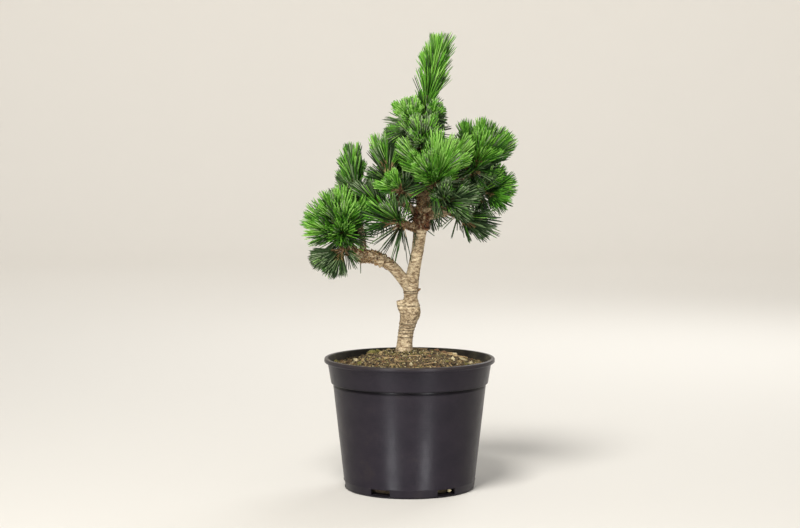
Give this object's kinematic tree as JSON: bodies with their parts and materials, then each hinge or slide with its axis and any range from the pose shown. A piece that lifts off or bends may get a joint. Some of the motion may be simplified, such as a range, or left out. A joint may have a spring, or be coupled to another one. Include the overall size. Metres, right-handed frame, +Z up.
{
  "type": "potted conifer",
  "caption": "Young pine with a bare leaning trunk, a forked lower bough and tufts of long needles, growing in a round black nursery pot.",
  "frame": {"origin": "middle of the pot's flat underside, where it stands on the ground", "axes": "+Z up along the pot's axis, -Y towards the pictured front, +X to the right in the picture"},
  "size_m": [0.2308, 0.1892, 0.4795],
  "materials": {
    "pot": "satin black, faint moulding lines",
    "soil": "gritty potting mix",
    "bark": "grey-brown ringed bark",
    "needles_fresh": "bright green needles",
    "needles_green": "mid green needles",
    "needles_old": "dark blue-green needles"
  },
  "bodies": {
    "root": {"bough_back": "bark", "bough_back_left": "bark", "bough_back_low": "bark", "bough_back_right": "bark", "bough_crown_back": "bark", "bough_crown_front": "bark", "bough_crown_left": "bark", "bough_crown_right": "bark", "bough_front": "bark", "bough_inner_left": "bark", "bough_left_back": "bark", "bough_left_lower": "bark", "bough_left_outer": "bark", "bough_left_under": "bark", "bough_left_upper": "bark", "bough_low_centre": "bark", "bough_mid_left": "bark", "bough_mid_low": "bark", "bough_right_back": "bark", "bough_right_front": "bark", "bough_right_low": "bark", "bough_right_under": "bark", "bough_right_upper": "bark", "foliage_back": "needles_fresh", "foliage_back_left": "needles_green", "foliage_back_low": "needles_old", "foliage_back_right": "needles_fresh", "foliage_crown_back": "needles_green", "foliage_crown_front": "needles_green", "foliage_crown_left": "needles_fresh", "foliage_crown_right": "needles_green", "foliage_front": "needles_fresh", "foliage_inner_left": "needles_fresh", "foliage_leader": "needles_fresh", "foliage_left_back": "needles_green", "foliage_left_dome": "needles_fresh", "foliage_left_under": "needles_old", "foliage_left_upper": "needles_green", "foliage_low_centre": "needles_green", "foliage_mid_left": "needles_green", "foliage_mid_low": "needles_old", "foliage_right_back": "needles_green", "foliage_right_front": "needles_old", "foliage_right_low": "needles_fresh", "foliage_right_under": "needles_old", "foliage_right_upper": "needles_fresh", "pot": "pot", "pruned_stub": "bark", "soil": "soil", "trunk": "bark"}
  },
  "joints": []
}
